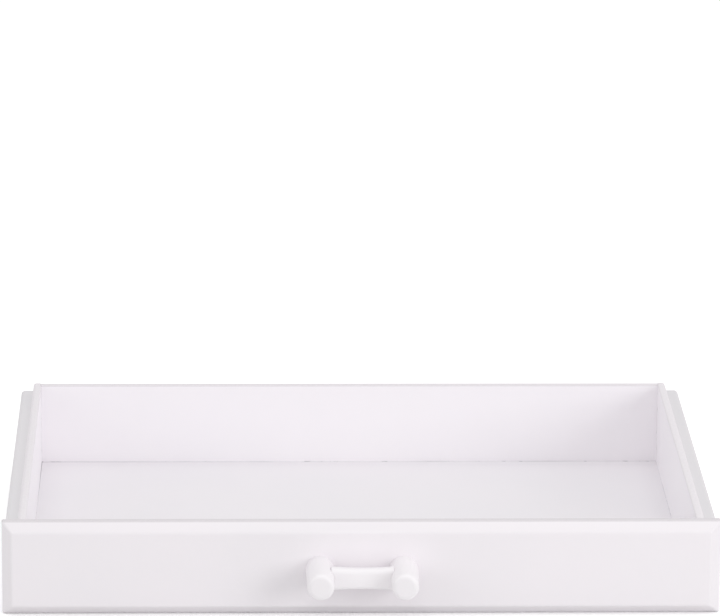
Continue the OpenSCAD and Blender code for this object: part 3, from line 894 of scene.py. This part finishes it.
class DRAWER_OT_handle_bar(bpy.types.Operator):
    """Makes the waisted bar between the posts"""

    bl_idname = "drawer.handle_bar"
    bl_label = "Handle Bar"

    def execute(self, context):
        handle = context.scene.drawer_handle
        low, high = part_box("handle_bar")
        middle = (low + high) / 2
        half = (high - low) / 2
        # The node is longer, because it holds the spigots that the posts hide
        half.x = handle.bar_half
        low, high = middle - half, middle + half
        swell = half.z - handle.bar_waist / 2
        bm = block(low, high)
        long_edges = edges_on(bm, y=low.y, z=low.z) + edges_on(bm, y=low.y, z=high.z)
        long_edges += edges_on(bm, y=high.y, z=low.z) + edges_on(bm, y=high.y, z=high.z)
        bmesh.ops.subdivide_edges(bm, edges=long_edges, cuts=WAIST_CUTS, use_grid_fill=True)
        for vert in bm.verts:
            along = (vert.co.x - middle.x) / half.x
            draw_in = swell * (1.0 - along * along)
            vert.co.z -= math.copysign(draw_in, vert.co.z - middle.z)
        rails = [e for e in bm.edges if abs(e.verts[0].co.x - e.verts[1].co.x) > TOUCH]
        round_edges(bm, rails, handle.bar_edge, LARGE_SEGMENTS)
        ends = edges_on(bm, x=low.x) + edges_on(bm, x=high.x)
        round_edges(bm, ends, handle.bar_end_edge, SMALL_SEGMENTS)
        bar = new_object("bar", bm)
        cutter = bmesh.new()
        for side in SIDES:
            post_low, post_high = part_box(f"{side}_handle_post")
            post_middle = (post_low + post_high) / 2
            turn = Matrix.Rotation(math.radians(90), 4, "X")
            bmesh.ops.create_cone(
                cutter, cap_ends=True, segments=TURN_STEPS,
                radius1=(post_high.x - post_low.x) / 2 + handle.bar_gap,
                radius2=handle.post_end_radius + handle.bar_gap,
                depth=post_high.y - post_low.y, matrix=Matrix.Translation(post_middle) @ turn,
            )
        cut(bar, cutter)
        dress(bar, "handle_plastic", handle_material(context.scene.drawer_finish), "handle_bar")
        return {"FINISHED"}


class DRAWER_OT_fasteners(bpy.types.Operator):
    """Finishes the screws, washers, pins, inserts and dowels"""

    bl_idname = "drawer.fasteners"
    bl_label = "Fasteners"

    def execute(self, context):
        finish = context.scene.drawer_finish
        zinc = metal_material("zinc_plate", finish.zinc_light, finish.zinc_dark, ZINC_SCALE)
        brass = metal_material("turned_brass", finish.brass_light, finish.brass_dark, BRASS_SCALE)
        wood = wood_material("beech", finish.wood_light, finish.wood_dark)
        kinds = (
            (zinc, SCREW_NODES + WASHER_NODES + PIN_NODES),
            (brass, INSERT_NODES),
            (wood, DOWEL_NODES),
        )
        for material, nodes in kinds:
            for node in nodes:
                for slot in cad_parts[node].material_slots:
                    slot.material = material
        return {"FINISHED"}


def seen_directly(tree):
    """1 for rays from the camera, and for mirrored and refracted ones, and otherwise 0."""
    path = put(tree, "ShaderNodeLightPath", {}).outputs
    mirrored = calc(tree, "MAXIMUM", path["Is Glossy Ray"], path["Is Transmission Ray"])
    return calc(tree, "MAXIMUM", path["Is Camera Ray"], mirrored)


def make_world(stage):
    """A white world to look at, which lights the object evenly at a plain level."""
    world = bpy.data.worlds.new("studio")
    world.use_nodes = True
    tree = world.node_tree
    tree.nodes.clear()
    white = put(tree, "ShaderNodeBackground", {"Color": opaque((1.0, 1.0, 1.0)), "Strength": 1.0})
    soft = put(tree, "ShaderNodeBackground", {"Color": opaque((1.0, 1.0, 1.0)), "Strength": stage.ambient})
    seen = seen_directly(tree)
    mix = put(tree, "ShaderNodeMixShader", {0: seen, 1: soft.outputs[0], 2: white.outputs[0]})
    put(tree, "ShaderNodeOutputWorld", {"Surface": mix.outputs[0]})
    bpy.context.scene.world = world


def make_floor(stage):
    """A pale floor that looks white and keeps the shadow."""
    material = bpy.data.materials.new("studio_floor")
    material.use_nodes = True
    tree = material.node_tree
    tree.nodes.clear()
    matt = put(tree, "ShaderNodeBsdfDiffuse", {"Color": opaque(stage.floor_colour)})
    bright = put(tree, "ShaderNodeBsdfDiffuse", {"Color": opaque([stage.floor_gain] * 3)})
    seen = seen_directly(tree)
    mix = put(tree, "ShaderNodeMixShader", {0: seen, 1: matt.outputs[0], 2: bright.outputs[0]})
    put(tree, "ShaderNodeOutputMaterial", {"Surface": mix.outputs[0]})
    bm = bmesh.new()
    ground = Matrix.Translation((0.0, 0.0, CAD_LOW.z - stage.floor_drop))
    bmesh.ops.create_grid(bm, x_segments=1, y_segments=1, size=stage.floor_half, matrix=ground)
    floor = new_object("floor", bm)
    floor.data.materials.append(material)


def make_lamp(name, place, size, power):
    """A soft square lamp that shines on the drawer."""
    light = bpy.data.lights.new(name, "AREA")
    light.shape = "SQUARE"
    light.size = size
    light.energy = power
    lamp = bpy.data.objects.new(name, light)
    bpy.context.scene.collection.objects.link(lamp)
    aim = (CAD_LOW + CAD_HIGH) / 2 - place
    lamp.matrix_world = Matrix.Translation(place) @ aim.to_track_quat("-Z", "Y").to_matrix().to_4x4()


def make_camera(stage):
    """The camera at the photograph's angle."""
    lens = bpy.data.cameras.new("camera")
    lens.sensor_width = 36.0
    lens.lens = stage.camera_lens
    camera = bpy.data.objects.new("camera", lens)
    bpy.context.scene.collection.objects.link(camera)
    turn = Matrix.Rotation(-stage.camera_yaw, 4, "Z")
    tilt = Matrix.Rotation(math.radians(90) - stage.camera_pitch, 4, "X")
    lean = Matrix.Rotation(stage.camera_roll, 4, "Z")
    camera.matrix_world = Matrix.Translation(stage.camera_place) @ turn @ tilt @ lean
    bpy.context.scene.camera = camera


class DRAWER_OT_stage(bpy.types.Operator):
    """Sets up the camera, the lamps, the floor and the world"""

    bl_idname = "drawer.stage"
    bl_label = "Stage"

    def execute(self, context):
        stage = context.scene.drawer_stage
        context.scene.view_settings.view_transform = "Standard"
        make_camera(stage)
        make_lamp("key", Vector(stage.key_place), stage.key_size, stage.key_power)
        make_lamp("fill", Vector(stage.fill_place), stage.key_size, stage.fill_power)
        make_lamp("top", Vector((0.0, 0.0, stage.top_height)), stage.top_size, stage.top_power)
        make_floor(stage)
        make_world(stage)
        return {"FINISHED"}


STEPS = (
    DRAWER_OT_stage, DRAWER_OT_front_panel, DRAWER_OT_side_boards, DRAWER_OT_back_board,
    DRAWER_OT_floor_sheet, DRAWER_OT_runners, DRAWER_OT_handle_posts, DRAWER_OT_handle_bar,
    DRAWER_OT_fasteners,
)
SETTINGS = {
    "drawer_boards": BoardSettings,
    "drawer_handle": HandleSettings,
    "drawer_finish": FinishSettings,
    "drawer_stage": StageSettings,
}


class DRAWER_PT_steps(bpy.types.Panel):
    """Lists the steps that build the drawer, and their settings"""

    bl_idname = "DRAWER_PT_steps"
    bl_label = "White Drawer Tray"
    bl_space_type = "VIEW_3D"
    bl_region_type = "UI"
    bl_category = "Drawer"

    def draw(self, context):
        for step in STEPS:
            self.layout.operator(step.bl_idname)
        for name, group in SETTINGS.items():
            box = self.layout.box()
            for setting in group.__annotations__:
                box.prop(getattr(context.scene, name), setting)


def register():
    """Adds the settings, the steps and the panel to Blender."""
    for name, group in SETTINGS.items():
        bpy.utils.register_class(group)
        setattr(bpy.types.Scene, name, PointerProperty(type=group))
    for made in (*STEPS, DRAWER_PT_steps):
        bpy.utils.register_class(made)


def unregister():
    """Takes them away again."""
    for made in (DRAWER_PT_steps, *reversed(STEPS)):
        bpy.utils.unregister_class(made)
    for name, group in SETTINGS.items():
        delattr(bpy.types.Scene, name)
        bpy.utils.unregister_class(group)


def main():
    """Builds the drawer and its stage."""
    register()
    bpy.ops.drawer.stage()
    bpy.ops.drawer.front_panel()
    bpy.ops.drawer.side_boards()
    bpy.ops.drawer.back_board()
    bpy.ops.drawer.floor_sheet()
    bpy.ops.drawer.runners()
    bpy.ops.drawer.handle_posts()
    bpy.ops.drawer.handle_bar()
    bpy.ops.drawer.fasteners()


if __name__ == "__main__":
    main()
